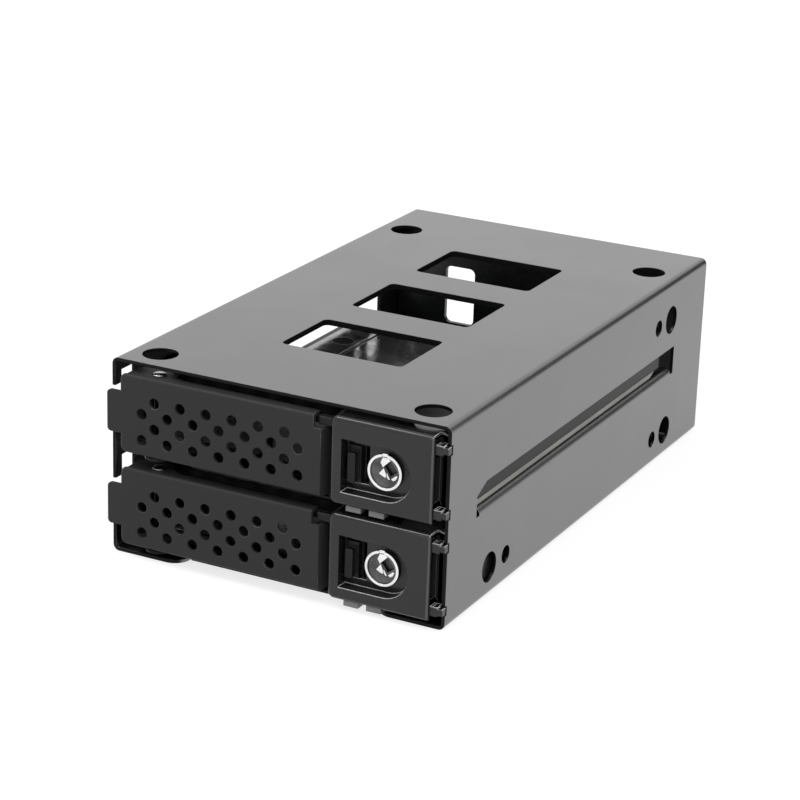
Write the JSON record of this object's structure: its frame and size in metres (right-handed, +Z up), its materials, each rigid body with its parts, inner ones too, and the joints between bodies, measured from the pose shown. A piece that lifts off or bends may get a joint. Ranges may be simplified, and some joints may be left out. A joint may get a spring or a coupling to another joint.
{
  "type": "two-bay drive cage",
  "caption": "Low folded steel cage that holds removable 3.5-inch drive trays behind perforated swing levers and keyed latch modules, with a backplane at the rear.",
  "frame": {"origin": "centre of the bounding box, on the underside of the bottom flanges", "axes": "+Z up, -Y out of the front with the levers and locks, +X to the right seen from the front"},
  "size_m": [0.108, 0.189, 0.0595],
  "materials": {
    "cage_coat": "fine satin black powder coat",
    "tray_coat": "satin black coat on thin sheet",
    "lever_coat": "satin black coat",
    "bezel": "black moulded plastic with a slight gloss",
    "latch": "black moulded plastic",
    "chrome": "bright plate",
    "lock_plug": "bright plate, scratched by keys",
    "pin_steel": "turned steel",
    "steel": "zinc-plated steel",
    "spring_steel": "drawn wire",
    "zinc": "zinc-plated steel",
    "board": "dark green solder mask",
    "socket": "black moulded plastic",
    "nylon": "natural nylon",
    "runner": "dark acetal",
    "light_guide": "clear bar with frosted ends",
    "lamp": "clear lens"
  },
  "bodies": {
    "cage": {"cage_shell": "cage_coat", "backplane_board": "board", "board_bracket_left": "zinc", "board_bracket_right": "zinc", "board_screws": "steel", "drive_socket_upper": "socket", "drive_socket_lower": "socket", "data_port_upper": "socket", "data_port_lower": "socket", "power_port": "nylon", "status_lamps": "lamp"},
    "tray_upper": {"tray_upper": "tray_coat", "tray_runners_upper": "runner", "light_guides_upper": "light_guide", "lever_pin_upper": "pin_steel", "bezel_upper": "bezel", "bezel_screws_upper": "steel", "latch_spring_upper": "spring_steel", "lock_housing_upper": "chrome", "lock_nut_upper": "zinc"},
    "lever_upper": {"lever_upper": "lever_coat"},
    "latch_upper": {"latch_upper": "latch"},
    "lock_upper": {"lock_plug_upper": "lock_plug", "lock_cam_upper": "zinc", "lock_screw_upper": "steel"},
    "tray_lower": {"tray_lower": "tray_coat", "tray_runners_lower": "runner", "light_guides_lower": "light_guide", "lever_pin_lower": "pin_steel", "bezel_lower": "bezel", "bezel_screws_lower": "steel", "latch_spring_lower": "spring_steel", "lock_housing_lower": "chrome", "lock_nut_lower": "zinc"},
    "lever_lower": {"lever_lower": "lever_coat"},
    "latch_lower": {"latch_lower": "latch"},
    "lock_lower": {"lock_plug_lower": "lock_plug", "lock_cam_lower": "zinc", "lock_screw_lower": "steel"}
  },
  "joints": [
    {"name": "tray_slide_upper", "type": "slide", "parent": "cage", "child": "tray_upper", "axis": [0, -1, 0], "range_m": [0, 0.17]},
    {"name": "lever_hinge_upper", "type": "hinge", "parent": "tray_upper", "child": "lever_upper", "pos_m": [-0.0393, -0.0897, 0.0443], "axis": [0, 0, -1], "range_deg": [0, 80]},
    {"name": "latch_slide_upper", "type": "slide", "parent": "tray_upper", "child": "latch_upper", "axis": [1, 0, 0], "range_m": [0, 0.002], "stiffness_N_per_m": 200, "springref_m": -0.002, "deforming": ["latch_spring_upper"]},
    {"name": "lock_turn_upper", "type": "hinge", "parent": "tray_upper", "child": "lock_upper", "pos_m": [0.03485, -0.0915, 0.04315], "axis": [0, 1, 0], "range_deg": [0, 90]},
    {"name": "tray_slide_lower", "type": "slide", "parent": "cage", "child": "tray_lower", "axis": [0, -1, 0], "range_m": [0, 0.17]},
    {"name": "lever_hinge_lower", "type": "hinge", "parent": "tray_lower", "child": "lever_lower", "pos_m": [-0.0393, -0.0897, 0.0159], "axis": [0, 0, -1], "range_deg": [0, 80]},
    {"name": "latch_slide_lower", "type": "slide", "parent": "tray_lower", "child": "latch_lower", "axis": [1, 0, 0], "range_m": [0, 0.002], "stiffness_N_per_m": 200, "springref_m": -0.002, "deforming": ["latch_spring_lower"]},
    {"name": "lock_turn_lower", "type": "hinge", "parent": "tray_lower", "child": "lock_lower", "pos_m": [0.03485, -0.0915, 0.01475], "axis": [0, 1, 0], "range_deg": [0, 90]}
  ]
}
